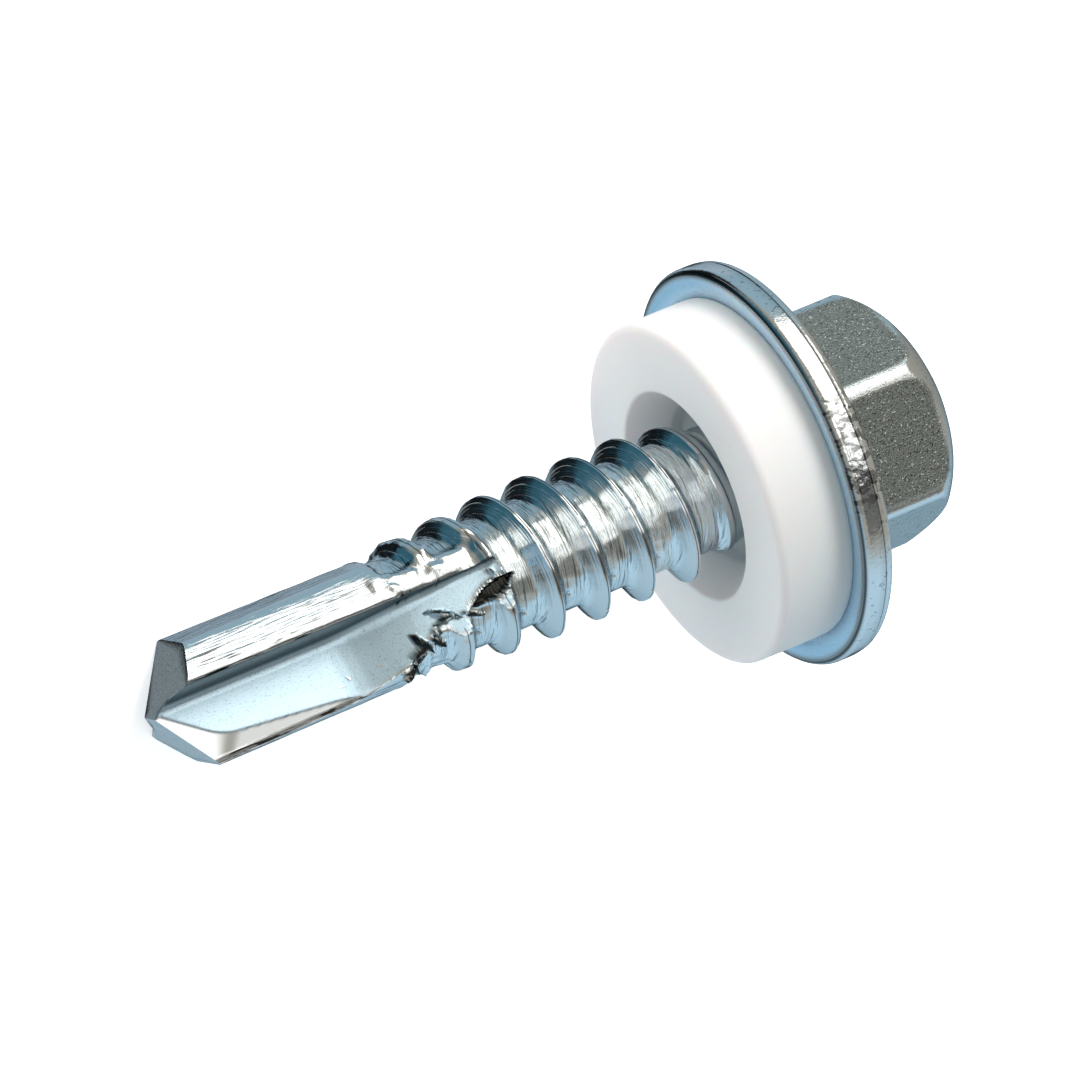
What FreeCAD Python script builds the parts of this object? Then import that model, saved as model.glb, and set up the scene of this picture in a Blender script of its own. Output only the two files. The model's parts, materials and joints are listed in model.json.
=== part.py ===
import FreeCAD, Part
import math
import os

# A self drilling screw with a hexagon head, a round pressed flange and a loose sealing washer.
# Both pieces are drawn upright along Z: the rim of the flange touches the plane z = 0, the
# shank and the drill point rise to +Z and the head hangs below. They are then laid on their
# side, as the screw comes to rest: on the rim of its flange and on two corners of its point.
# Lengths are in millimetres. Angles are in degrees, anticlockwise when the point faces you.

# Thread, right handed.
thread_major_d = 5.5
thread_core_d = 4.08
thread_pitch = 1.8
crest_width = 0.14
flank_half_angle = 30.0
root_foot_height = 0.15
root_foot_angle = 45.0
thread_crest_z = 4.54
thread_end_z = 14.0
thread_runout_length = 0.45
thread_rise_length = 3.3
lead_in_length = 5.4
lead_in_d = 4.86
neck_d = 4.6
neck_length = 0.6
neck_taper_length = 0.6

# Drill point, forged with two straight flutes.
under_head_length = 24.0
drill_tip_d = 4.76
drill_back_d = 4.52
drill_start_z = 14.8
drill_step_length = 0.3
point_angle = 113.0
lip_relief_angle = 17.0
web_thickness = 0.8
flute_turn = -163.0
flute_heel_offset = 0.12
flute_fillet_r = 0.22
flute_full_z = 16.9
flute_knee_z = 14.4
flute_knee_height = 1.4
flute_end_z = 11.0
land_flat_angle = 25.0
land_flat_depth = 0.19
bevel_drop = 0.33
bevel_corner_x = 1.55
bevel_corner_back = 1.95
bevel_fade_back = 8.6

# Hexagon head.
hex_across_flats = 8.0
hex_corner_r = 0.5
hex_turn = -10.5
head_height = 6.4
head_top_d = 6.3
head_shoulder_height = 4.7
dome_bulge = 0.2
head_dimple_d = 4.6
head_dimple_depth = 0.35

# Pressed flange.
flange_d = 14.5
flange_face_d = 13.7
rim_thickness = 1.15
rim_front_r = 0.45
rim_back_r = 0.4
flange_dish_d = 12.9
flange_dish_depth = 0.25
flange_back_rise = 0.6

# Sealing washer, moulded in plastic, free to turn on the neck.
washer_d = 12.3
washer_thickness = 2.9
washer_front_r = 0.3
washer_back_r = 0.15
washer_mouth_d = 7.4
washer_mouth_r = 0.15
washer_mouth_depth = 1.3
washer_lip_length = 0.6
washer_bore_gap = 0.15
washer_neck_gap = 0.08
washer_face_gap = 0.03

Z_AXIS = FreeCAD.Vector(0, 0, 1)
CENTRE = FreeCAD.Vector(0, 0, 0)
CUT_MARGIN = 0.5
ROUNDING_STEPS = 2


def tan(angle):
    """Tangent of an angle in degrees."""
    return math.tan(math.radians(angle))


def at_angle(radius, angle, z):
    """A point on a circle about the screw's axis."""
    return FreeCAD.Vector(radius * math.cos(math.radians(angle)),
                          radius * math.sin(math.radians(angle)), z)


major_r = thread_major_d / 2
core_r = thread_core_d / 2
neck_r = neck_d / 2
tip_r = drill_tip_d / 2
flange_r = flange_d / 2
web_half = web_thickness / 2
dish_z = -flange_dish_depth
back_z = -rim_thickness - flange_back_rise
hex_reach = hex_across_flats / 2 / math.cos(math.radians(30))


def turned(shape, angle):
    """The shape turned about the screw's own axis."""
    copy = shape.copy()
    copy.rotate(CENTRE, Z_AXIS, angle)
    return copy


def loop(points):
    """A flat face inside straight edges through the points and back to the first."""
    return Part.Face(Part.makePolygon(points + points[:1]))


def rounded_loop(corners):
    """A flat face in the XZ plane from (radius, z, rounding) corners, rounded in short straight steps."""
    points = [FreeCAD.Vector(r, 0, z) for r, z, rounding in corners]
    outline = []
    for i, (point, corner) in enumerate(zip(points, corners)):
        to_last = (points[i - 1] - point).normalize()
        to_next = (points[(i + 1) % len(points)] - point).normalize()
        half = to_last.getAngle(to_next) / 2
        centre = point + (to_last + to_next).normalize() * (corner[2] / math.sin(half))
        first_arm = point + to_last * (corner[2] / math.tan(half)) - centre
        last_arm = point + to_next * (corner[2] / math.tan(half)) - centre
        sweep = math.pi - 2 * half
        steps = ROUNDING_STEPS if corner[2] else 0
        for step in range(steps + 1):
            share = sweep * step / max(steps, 1)
            arm = first_arm * math.sin(sweep - share) + last_arm * math.sin(share)
            outline.append(centre + arm * (1 / math.sin(sweep)))
    return loop(outline)


def revolved(face):
    """A face in the XZ plane turned into a solid about the screw's axis."""
    return face.revolve(CENTRE, Z_AXIS, 360)


def hex_head():
    """The hexagon with rounded corners, its top domed and dented as forging leaves it."""
    corners = [at_angle(hex_reach, 60 * step, -rim_thickness) for step in range(6)]
    prism = loop(corners).extrude(FreeCAD.Vector(0, 0, rim_thickness - head_height))
    upright = [e for e in prism.Edges if e.BoundBox.ZLength > head_height / 2]
    prism = prism.makeFillet(hex_corner_r, upright)

    fall = (head_height - head_shoulder_height) / 2
    run = (hex_reach - head_top_d / 2) / 2
    dome = revolved(rounded_loop([(0, 0, 0),
                                  (hex_reach, 0, 0),
                                  (hex_reach, -head_shoulder_height, 0),
                                  (hex_reach - run + dome_bulge, -head_shoulder_height - fall, 0),
                                  (head_top_d / 2, -head_height, 0),
                                  (0, -head_height, 0)]))

    dimple_r = head_dimple_d / 2
    dimple_top = -head_height + head_dimple_depth
    dimple = revolved(rounded_loop([(0, -head_height - CUT_MARGIN, 0),
                                    (dimple_r + CUT_MARGIN, -head_height - CUT_MARGIN, 0),
                                    (dimple_r - head_dimple_depth, dimple_top, 0),
                                    (0, dimple_top, 0)]))
    return turned(prism.common(dome).cut(dimple), hex_turn)


def flange():
    """The pressed flange: a thick rolled rim, a dished underside and a back rising to the head."""
    return revolved(rounded_loop([(0, dish_z, 0),
                                  (flange_dish_d / 2, dish_z, 0),
                                  (flange_face_d / 2, 0, 0),
                                  (flange_r, 0, rim_front_r),
                                  (flange_r, -rim_thickness, rim_back_r),
                                  (hex_across_flats / 2, back_z, 0),
                                  (0, back_z, 0)]))


def shank():
    """The neck, the core of the thread and the drill body before its flutes are forged."""
    corners = [(0, -rim_thickness, 0),
               (neck_r, -rim_thickness, 0),
               (neck_r, neck_length, 0),
               (core_r, neck_length + neck_taper_length, 0),
               (core_r, drill_start_z, 0),
               (drill_back_d / 2, drill_start_z + drill_step_length, 0),
               (tip_r, under_head_length, 0),
               (0, under_head_length, 0)]
    return revolved(rounded_loop(corners))


def thread_ridge():
    """One tooth swept along a right-handed helix, then trimmed to fade out at both ends."""
    foot_r = core_r + root_foot_height
    sunk_r = core_r - root_foot_height
    crest_half = crest_width / 2
    foot_half = crest_half + (major_r - foot_r) * tan(flank_half_angle)
    sunk_half = foot_half + (foot_r - sunk_r) / tan(root_foot_angle)
    runout_end_z = thread_end_z + thread_runout_length
    start_z = thread_crest_z - thread_pitch * math.ceil((thread_crest_z - neck_length) / thread_pitch)
    turns = math.ceil((runout_end_z - start_z) / thread_pitch)
    tooth = [(sunk_r, -sunk_half), (foot_r, -foot_half), (major_r, -crest_half),
             (major_r, crest_half), (foot_r, foot_half), (sunk_r, sunk_half), (sunk_r, -sunk_half)]
    profile = Part.makePolygon([FreeCAD.Vector(r, 0, z) for r, z in tooth])
    helix = Part.makeLongHelix(thread_pitch, turns * thread_pitch, core_r)
    ridge = Part.Wire(helix.Edges).makePipeShell([profile], True, True)
    ridge.translate(FreeCAD.Vector(0, 0, start_z))

    clear_r = major_r + root_foot_height
    lead_in_z = thread_end_z - lead_in_length
    trim = revolved(rounded_loop([(0, neck_length, 0),
                                  (sunk_r, neck_length, 0),
                                  (clear_r, neck_length + thread_rise_length, 0),
                                  (clear_r, lead_in_z - thread_pitch, 0),
                                  (major_r, lead_in_z, 0),
                                  (lead_in_d / 2, thread_end_z, 0),
                                  (sunk_r, runout_end_z, 0),
                                  (0, runout_end_z, 0)]))
    return ridge.common(trim)


# The drill point's tools are drawn in the flute's own frame: x runs out along the cutting
# lip, y stands square to the floor of the flute, and the screw's axis is x = y = 0.


def flute():
    """A square notch with a filleted corner, whose floor ramps out towards the head."""
    beyond = under_head_length + CUT_MARGIN
    clear = 2 * tip_r
    side = [FreeCAD.Vector(-flute_heel_offset, y, z)
            for y, z in ((clear, beyond), (clear, flute_end_z), (core_r, flute_end_z),
                         (flute_knee_height, flute_knee_z), (web_half, flute_full_z),
                         (web_half, beyond))]
    notch = loop(side).extrude(FreeCAD.Vector(clear, 0, 0))
    corners = [e for e in notch.Edges
               if e.BoundBox.XMax < 0 and e.BoundBox.YMax < clear - CUT_MARGIN
               and e.BoundBox.ZLength > CUT_MARGIN]
    return notch.makeFillet(flute_fillet_r, corners)


def bevel(start, end, lip_corner):
    """The stock above a facet that leaves the flute's floor at a line and dips to the lip's corner."""
    along = (end - start).normalize()
    down = lip_corner - start
    down = (down - along * down.dot(along)).normalize()
    reach = 2 * tip_r
    corners = [start - along * reach, end + along * reach,
               end + along * reach + down * reach, start - along * reach + down * reach]
    return loop(corners).extrude(FreeCAD.Vector(0, reach, 0))


def lip_bevels():
    """The two facets beside the cutting lip: one along the lip and one that fades up the margin."""
    lip_z = under_head_length - tip_r / tan(point_angle / 2)
    lip_corner = FreeCAD.Vector(tip_r, web_half - bevel_drop, lip_z)
    centre = FreeCAD.Vector(0, web_half, under_head_length)
    knee = FreeCAD.Vector(bevel_corner_x, web_half, under_head_length - bevel_corner_back)
    fade = FreeCAD.Vector(drill_back_d / 2, web_half, under_head_length - bevel_fade_back)
    return [bevel(centre, knee, lip_corner), bevel(knee, fade, lip_corner)]


def flank():
    """The stock in front of one flank, which slopes out to the lip's corner and falls away behind it."""
    size = 3 * tip_r
    corners = []
    for x, y in ((-size, -size), (size, -size), (size, size), (-size, size)):
        z = under_head_length - x / tan(point_angle / 2) + y * tan(lip_relief_angle)
        corners.append(FreeCAD.Vector(x, y, z))
    return loop(corners).extrude(FreeCAD.Vector(0, 0, 4 * size))


def land_flat():
    """The stock outside the flat on a land, a little behind the cutting lip."""
    size = 2 * tip_r
    depth = tip_r - land_flat_depth
    block = Part.makeBox(size, 2 * size, under_head_length + CUT_MARGIN - drill_start_z,
                         FreeCAD.Vector(depth, -size, drill_start_z))
    return turned(block, -land_flat_angle)


def screw():
    """The whole screw: one forged and rolled solid."""
    body = shank().fuse([thread_ridge()])
    for half_turn in (0, 180):
        for cutter in [flute(), land_flat(), flank()] + lip_bevels():
            body = body.cut(turned(cutter, flute_turn + half_turn))
    return body.fuse([flange(), hex_head()])


def washer():
    """The washer: rounded in front, with a countersunk mouth and a lip that holds it on the neck."""
    back = dish_z + washer_face_gap
    front = back + washer_thickness
    bore_r = major_r + washer_bore_gap
    lip_r = neck_r + washer_neck_gap
    lip_z = back + washer_lip_length
    return revolved(rounded_loop([(lip_r, back, 0),
                                  (washer_d / 2, back, washer_back_r),
                                  (washer_d / 2, front, washer_front_r),
                                  (washer_mouth_d / 2, front, washer_mouth_r),
                                  (bore_r, front - washer_mouth_depth, 0),
                                  (bore_r, lip_z + bore_r - lip_r, 0),
                                  (lip_r, lip_z, 0)]))


def resting_corners():
    """The two corners of the point that touch the ground: beside one flute, its lip and its heel."""
    relief = tan(lip_relief_angle)
    slope = 1 / tan(point_angle / 2)
    lip_y = web_half - bevel_drop
    lip_x = math.sqrt(tip_r ** 2 - lip_y ** 2)
    heel_x = -flute_heel_offset
    heel_y = math.sqrt(tip_r ** 2 - heel_x ** 2)
    lip = FreeCAD.Vector(lip_x, lip_y, under_head_length - lip_x * slope + lip_y * relief)
    heel = FreeCAD.Vector(heel_x, heel_y, under_head_length + heel_x * slope - heel_y * relief)
    turn = FreeCAD.Rotation(Z_AXIS, flute_turn + 180)
    return turn.multVec(lip), turn.multVec(heel)


def ground_normal():
    """The unit vector down to a plane that touches both corners of the point and the round rim."""
    lip, heel = resting_corners()
    across = lip - heel
    span = math.hypot(across.x, across.y)
    bearing = math.atan2(across.y, across.x)
    slope = 0
    for _ in range(20):
        swing = math.acos(-across.z * slope / span)
        side = max((bearing + swing, bearing - swing),
                   key=lambda a: lip.x * math.cos(a) + lip.y * math.sin(a))
        reach = lip.x * math.cos(side) + lip.y * math.sin(side)
        slope = (flange_r - reach) / (lip.z + rim_front_r)
    down = FreeCAD.Vector(math.cos(side), math.sin(side), slope).normalize()
    return down, down.dot(lip)


def resting_place(shapes):
    """The move that lays the screw down, its head towards +X and the middle of its box over 0."""
    down, depth = ground_normal()
    up = down * -1
    forward = (Z_AXIS * -1 - up * (Z_AXIS * -1).dot(up)).normalize()
    turn = FreeCAD.Rotation(forward, up.cross(forward), up, "ZXY").inverted()
    lay = FreeCAD.Placement(CENTRE, turn)
    laid = Part.makeCompound([s.transformGeometry(lay.toMatrix()) for s in shapes])
    box = laid.optimalBoundingBox(False, False)
    lay.Base = FreeCAD.Vector(-(box.XMin + box.XMax) / 2, -(box.YMin + box.YMax) / 2, depth)
    return lay


os.makedirs("parts", exist_ok=True)
pieces = {"screw": screw(), "sealing_washer": washer()}
place = resting_place(list(pieces.values()))
for name, shape in pieces.items():
    shape.Placement = place.multiply(shape.Placement)
    shape.exportStep("parts/" + name + ".step")
    print(name, "solids", len(shape.Solids), "volume", round(shape.Volume, 2))
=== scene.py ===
# %% [markdown]
# # A self drilling screw, lying on a white table
#
# The part is a zinc plated roofing screw with a white sealing washer. A CAD frame already gives
# its true sizes and the way it lies. This file dresses that frame: finer surfaces, the marks left
# by forging and rolling, the two finishes, and the light of a catalogue picture.
#
# Everything is measured along the screw's own axis, in millimetres, with z = 0 at the rim of the
# flange and the drill point at z = 24. One matrix then lays each finished mesh in the frame.

# %% Open the frame
import json
import math

import bpy
import numpy as np
from mathutils import Matrix, Vector


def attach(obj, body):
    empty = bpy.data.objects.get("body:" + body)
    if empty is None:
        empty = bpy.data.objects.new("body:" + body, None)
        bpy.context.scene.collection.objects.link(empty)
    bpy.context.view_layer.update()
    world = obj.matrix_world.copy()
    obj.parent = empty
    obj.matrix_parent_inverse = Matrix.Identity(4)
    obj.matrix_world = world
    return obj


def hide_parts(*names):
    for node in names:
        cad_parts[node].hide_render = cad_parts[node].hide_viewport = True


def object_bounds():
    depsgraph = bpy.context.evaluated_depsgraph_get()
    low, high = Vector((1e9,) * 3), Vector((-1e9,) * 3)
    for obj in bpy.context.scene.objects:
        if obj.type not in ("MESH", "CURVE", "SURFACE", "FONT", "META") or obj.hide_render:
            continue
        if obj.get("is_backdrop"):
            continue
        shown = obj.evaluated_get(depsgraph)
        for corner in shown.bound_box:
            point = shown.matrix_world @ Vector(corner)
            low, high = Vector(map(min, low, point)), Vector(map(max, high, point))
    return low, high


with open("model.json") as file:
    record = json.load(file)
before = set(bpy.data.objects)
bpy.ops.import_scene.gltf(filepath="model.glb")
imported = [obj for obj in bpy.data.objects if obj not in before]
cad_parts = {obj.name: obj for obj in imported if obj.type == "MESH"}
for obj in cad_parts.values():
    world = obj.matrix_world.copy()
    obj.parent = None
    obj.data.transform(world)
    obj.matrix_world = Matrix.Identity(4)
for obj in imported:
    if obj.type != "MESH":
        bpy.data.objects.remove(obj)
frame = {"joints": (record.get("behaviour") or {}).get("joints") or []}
cad_bounds = [list(corner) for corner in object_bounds()]

# %% [markdown]
# ## Where the screw lies
#
# The screw rests on the rim of its flange and on two corners of its drill point, so its axis
# slopes. The frame's joint already knows that axis, since the washer spins about it. Only the roll
# about the axis is missing, and that is the angle at which the resting side faces the table.
# Building each mesh upright and laying it down with one matrix keeps the numbers simple.

# %% The matrix from the screw's axis to the frame
MM = 0.001
WASHER_MIDDLE = 1.23
REST_SIDE = 61.26457

joint = frame["joints"][0]
to_tip = Vector(joint["axis"]).normalized()
origin = Vector(joint["pos_m"]) - to_tip * (WASHER_MIDDLE * MM)
straight_down = Vector((0.0, 0.0, -1.0))
lean = (straight_down - to_tip * straight_down.dot(to_tip)).normalized()
side = to_tip.cross(lean)
turn = math.radians(REST_SIDE)
local_x = lean * math.cos(turn) - side * math.sin(turn)
local_y = lean * math.sin(turn) + side * math.cos(turn)
TO_FRAME = np.array([local_x, local_y, to_tip]).T
ORIGIN = np.array(origin)
print("axis slopes down by %.2f degrees" % math.degrees(math.asin(-to_tip.z)))

# %% [markdown]
# ## Turning arrays into meshes
#
# Every piece here is a skin of quads between rows of points. Numpy computes all the points at
# once, and `foreach_set` hands them to Blender in one go, which is far faster than adding them
# one by one. Where points meet, such as at a pole or where a row runs out, a quad loses a corner
# and becomes a triangle, so the skin stays closed.

# %% A mesh from points and quads


def weld(points, quads):
    """Points closer than 0.1 micrometre become one. Returns (kept point numbers, new quads)."""
    keys = np.round(points * 1e4).astype(np.int64)
    _, first, back = np.unique(keys, axis=0, return_index=True, return_inverse=True)
    return first, back.reshape(-1)[quads]


def build(name, points, quads, sharp_angle, shade=None):
    """An object from local millimetre points: laid = TO_FRAME times point, in metres, plus ORIGIN.

    shade holds three numbers for each point, which the finish reads as floor, painted shade and rough.
    """
    if shade is None:
        shade = np.zeros(points.shape)
    kept, quads = weld(points, quads)
    points, shade = points[kept], shade[kept]
    keep = quads != np.roll(quads, -1, axis=1)
    corners = keep.sum(axis=1)
    whole = corners >= 3
    quads, keep, corners = quads[whole], keep[whole], corners[whole]
    laid = (points * MM) @ TO_FRAME.T + ORIGIN
    mesh = bpy.data.meshes.new(name)
    mesh.vertices.add(len(laid))
    mesh.vertices.foreach_set("co", laid.ravel())
    mesh.loops.add(int(corners.sum()))
    mesh.loops.foreach_set("vertex_index", quads[keep].astype(np.int32))
    mesh.polygons.add(len(corners))
    mesh.polygons.foreach_set("loop_start", (np.cumsum(corners) - corners).astype(np.int32))
    mesh.update(calc_edges=True)
    mesh.validate()
    mesh.polygons.foreach_set("use_smooth", np.ones(len(mesh.polygons), dtype=bool))
    mesh.set_sharp_from_angle(angle=math.radians(sharp_angle))
    for title, values in (("along", points), ("shade", shade)):
        layer = mesh.attributes.new(title, "FLOAT_VECTOR", "POINT")
        layer.data.foreach_set("vector", values.astype(np.float32).ravel())
    thing = bpy.data.objects.new(name, mesh)
    bpy.context.scene.collection.objects.link(thing)
    print(name, "points", len(mesh.vertices), "faces", len(mesh.polygons))
    return thing


def ring_quads(rows, columns):
    """Quads between rows of points that close into rings: the point number is row * columns + column."""
    row, column = np.meshgrid(np.arange(rows - 1), np.arange(columns), indexing="ij")
    beside = (column + 1) % columns
    a = row * columns + column
    b = row * columns + beside
    return np.stack([a, b, b + columns, a + columns], axis=-1).reshape(-1, 4)


def smooth_step(t):
    """0 below 0, 1 above 1, and 3 t squared minus 2 t cubed between."""
    t = np.clip(t, 0.0, 1.0)
    return t * t * (3.0 - 2.0 * t)


def smooth_min(a, b, blend):
    """The smaller of a and b, with the crease rounded over a width of blend."""
    share = np.clip(0.5 + 0.5 * (b - a) / blend, 0.0, 1.0)
    return b * (1.0 - share) + a * share - blend * share * (1.0 - share)


print("helpers ready")

# %% [markdown]
# ## Rough metal, without a texture
#
# Forged and rolled steel is never smooth: it has dents, ripples and torn edges. A picture of
# noise would do, but it has to be stored. Summing a few dozen sine waves of mixed directions
# gives the same kind of wander from a formula, and the same seed always gives the same waves.

# %% Wandering noise


def waves(x, y, z, scale, seed, count=28):
    """Sum of sines: each wave has its own direction, a length near scale, and its own start."""
    rng = np.random.default_rng(seed)
    total = np.zeros(np.broadcast(x, y, z).shape)
    for _ in range(count):
        direction = rng.normal(size=3)
        direction *= 2.0 * math.pi / (scale * np.linalg.norm(direction) * rng.uniform(0.6, 1.7))
        start = rng.uniform(0.0, 2.0 * math.pi)
        total += np.sin(x * direction[0] + y * direction[1] + z * direction[2] + start)
    return total / math.sqrt(count)


print("noise at one point %.3f" % float(waves(0.3, 0.2, 0.1, 1.0, 5)))

# %% [markdown]
# ## The shank's outline
#
# The shank is a rolled thread on a core, with a plain neck under the head and a drill body at the
# other end. Seen along the axis its radius is a function of two numbers: the angle round the
# axis and the distance along it. A right-handed thread climbs one pitch for each turn, so its
# profile only has to be drawn once, as radius against the distance from the crest.

# %% Thread, neck and drill body as one radius
PITCH = 1.8
CREST_Z = 4.54
CORE_R = 2.04
NECK_R = 2.3
DRILL_Z = 14.8
TIP_Z = 24.0
TIP_R = 2.38
BACK_R = 2.26
FLUTE_TURN = -163.0

TOOTH = np.array([(0.0, 2.725), (0.014, 2.728), (0.028, 2.75), (0.055, 2.75), (0.07, 2.73),
                  (0.385, 2.215), (0.43, 2.145), (0.49, 2.085), (0.56, 2.05), (0.64, 2.035),
                  (0.9, 2.03)])
LIMIT = np.array([(-1.0, 1.0), (1.0, 1.9), (1.7, 2.15), (2.74, 2.5), (3.5, 2.72), (3.9, 2.9),
                  (6.8, 2.9), (8.6, 2.76), (10.1, 2.69), (11.9, 2.58), (13.9, 2.44), (14.35, 1.89),
                  (30.0, 1.0)])
BODY = np.array([(-1.0, NECK_R), (0.55, NECK_R), (0.65, 2.29), (1.1, 2.06), (1.2, CORE_R),
                 (DRILL_Z - 0.05, CORE_R), (DRILL_Z + 0.22, BACK_R - 0.02), (DRILL_Z + 0.35, BACK_R),
                 (TIP_Z, TIP_R)])


def look_up(table, at):
    """The second column of table where the first is at, with straight lines between its rows."""
    return np.interp(at, table[:, 0], table[:, 1])


def shank_radius(angle, z):
    """max(body, min(tooth, limit)), the tooth read at the distance to the nearest crest line."""
    climb = (z - CREST_Z) / PITCH - angle / 360.0
    from_crest = np.abs(climb - np.round(climb)) * PITCH
    return np.maximum(look_up(BODY, z), smooth_min(look_up(TOOTH, from_crest), look_up(LIMIT, z), 0.04))


print("crest radius", float(shank_radius(0.0, CREST_Z)))
print("core radius", float(shank_radius(180.0, CREST_Z)))

# %% [markdown]
# ## What the dies do to the outside
#
# Where the point dies close on the blank they press a flat along each land, crush the last turns
# of thread beside the flute and round over the heel. Rolling leaves its own signs: a small
# crater in every root, where the die was chipped, and a few faint ridges where the thread starts
# in the washer. Each of these is a small change of radius, so they simply add up.

# %% Forging and rolling marks
CRATER_TURN = -133.0
CRATER_SHARE = 0.64
CRATER_SIZE = 0.17
CRUSHED_R = 2.27
HEEL_TURN = 92.9
LAND_FLAT = 2.19
LAND_MIDDLE = 155.0
PRESSED_MIDDLE = 113.0
PRESSED_DEPTH = 0.07


def crater(angle, z):
    """A pit with a ring in each root: 0.1 exp(-a a) (0.7 - 1.6 exp(-2 a a)) at a pit sizes away."""
    middle = CREST_Z + PITCH * (CRATER_SHARE + CRATER_TURN / 360.0)
    along = (z - middle) / PITCH
    along = (along - np.round(along)) * PITCH
    across = np.radians((angle - CRATER_TURN + 180.0) % 360.0 - 180.0) * CORE_R
    away = np.hypot(along - 0.5 * across, across * 0.75) / CRATER_SIZE
    inside = (z > 4.0) & (z < 12.5)
    return np.where(inside, np.exp(-away ** 2) * (0.7 - 1.6 * np.exp(-2.0 * away ** 2)) * 0.1, 0.0)


def ridges(angle, z):
    """Faint ridges beside the first crest: a sine of the distance from it, inside a window of z."""
    climb = (z - CREST_Z) / PITCH - angle / 360.0
    window = smooth_step((z - 1.5) / 0.5) * smooth_step((3.4 - z) / 0.6)
    return 0.022 * np.sin(2.0 * math.pi * climb * 6.0) * window


def die_marks(radius, turn_in_flute, angle, z):
    """Crushed turns at CRUSHED_R beside the flute, lumps where the dies end, and a rounded heel.

    Each mark is a height times its own window of z and of the turn in the flute.
    """
    turned = np.radians(angle)
    rough = waves(4.0 * np.cos(turned), 4.0 * np.sin(turned), z, 0.9, 11)
    radius = radius + 0.006 * rough
    crushed = smooth_step((z - 11.2) / 0.7) * smooth_step((126.0 - turn_in_flute) / 14.0)
    crushed = crushed * smooth_step((DRILL_Z + 0.6 - z) / 0.6) * (turn_in_flute < 140.0)
    radius = radius * (1.0 - crushed) + (CRUSHED_R + 0.025 * rough) * crushed
    swaged = smooth_step((z - 12.6) / 0.6) * smooth_step((15.6 - z) / 0.8)
    lumps = waves(3.0 * np.cos(turned), 3.0 * np.sin(turned), z, 0.55, 12)
    radius = radius + 0.03 * lumps * swaged
    from_heel = np.clip((turn_in_flute - HEEL_TURN) * 0.039, 0.0, 0.2) / 0.2
    heel = (1.0 - from_heel) ** 2 * smooth_step((z - 11.8) / 1.2) * (turn_in_flute < 110.0)
    return radius - 0.15 * heel


def press_flat(radius, turn_in_flute, z, distance, middle, reach, lift, run_out, blend):
    """The smaller of radius and a flat on the drill body: distance / cos(angle from the flat's middle).

    The flat reaches some degrees each way, and rises out of the metal over run_out above the body.
    """
    flat = distance / np.maximum(np.cos(np.radians(turn_in_flute - middle)), 0.2)
    flat = flat + lift * np.clip(DRILL_Z + run_out - z, 0.0, 1.0)
    near = (np.abs(turn_in_flute - middle) < reach) & (z > DRILL_Z - 0.2)
    return np.where(near, smooth_min(radius, flat, blend), radius)


def outer_radius(turn_in_flute, angle, z):
    """The shank's radius with all that rolling and the dies did to it."""
    radius = shank_radius(angle, z) + crater(angle, z) + ridges(angle, z)
    radius = die_marks(radius, turn_in_flute, angle, z)
    radius = press_flat(radius, turn_in_flute, z, LAND_FLAT, LAND_MIDDLE, 40.0, 0.5, 0.6, 0.03)
    distance = look_up(BODY, z) - PRESSED_DEPTH
    return press_flat(radius, turn_in_flute, z, distance, PRESSED_MIDDLE, 25.0, 0.4, 0.8, 0.05)


land_radius = float(outer_radius(np.float64(LAND_MIDDLE), np.float64(-8.0), np.float64(20.0)))
print("radius on the land's flat %.2f" % land_radius)

# %% [markdown]
# ## The drill point
#
# Two dies pinch the blank and squeeze out a flute on each side, then trim the tip to a roof of
# two flanks. A flute is a square notch: a flat floor, which becomes the cutting lip, and a heel
# wall standing on it. The floor ramps out towards the head, where the squeezed metal tears.
#
# A plain grid of angle and height can't hold the upright wall, so the columns of this grid are
# shared out: some lie on the floor, some climb the wall and the rest go round the land. In the
# flute's own frame x runs out along the lip and y stands square to the floor.

# %% Sizes of the flute
WEB = 0.4
HEEL_X = -0.12
POINT_SLOPE = 1.0 / math.tan(math.radians(56.5))
RELIEF = math.tan(math.radians(17.0))
CORNER_X = WEB * RELIEF / POINT_SLOPE
FLOOR_COLUMNS = 41
WALL_COLUMNS = 8
WEB_COLUMNS = 5
LAND_COLUMNS = FLOOR_COLUMNS + WALL_COLUMNS + WEB_COLUMNS - 1
HALF_COLUMNS = FLOOR_COLUMNS + WALL_COLUMNS + LAND_COLUMNS
RAMP = np.array([(-1.0, 6.0), (10.2, 2.9), (11.0, 2.06), (11.8, 1.9), (12.6, 1.76), (13.4, 1.61),
                 (14.0, 1.48), (14.4, 1.37), (14.8, 1.23), (15.4, 1.0), (16.0, 0.75), (16.5, 0.56),
                 (16.9, 0.46), (17.3, 0.41), (17.8, WEB), (30.0, WEB)])
LIP = np.array([TIP_R, WEB - 0.33, TIP_Z - TIP_R * POINT_SLOPE])
KNEE = (1.55, WEB, TIP_Z - 1.95)
BEVEL_END = (2.22, WEB, TIP_Z - 8.6)


def plane_through(a, b, c):
    """The plane n . point = d through three points, with n turned towards +y."""
    a, b, c = (np.array(p, dtype=float) for p in (a, b, c))
    normal = np.cross(b - a, c - a)
    normal *= np.sign(normal[1])
    return normal, float(normal @ a)


BEVELS = [plane_through((0.0, WEB, TIP_Z), KNEE, LIP), plane_through(KNEE, BEVEL_END, LIP)]


def fade(z):
    """Lifts the bevels with the ramp, and clear of the metal above the drill body: 4 (15.6 - z)."""
    return np.maximum(4.0 * (15.6 - z), look_up(RAMP, z) - WEB)


def bevel_height(x, z):
    """The lower of the two bevels beside the lip, at x and z."""
    first, second = [(level - normal[0] * x - normal[2] * z) / normal[1] for normal, level in BEVELS]
    return smooth_min(first, second, 0.12) + fade(z)


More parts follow.
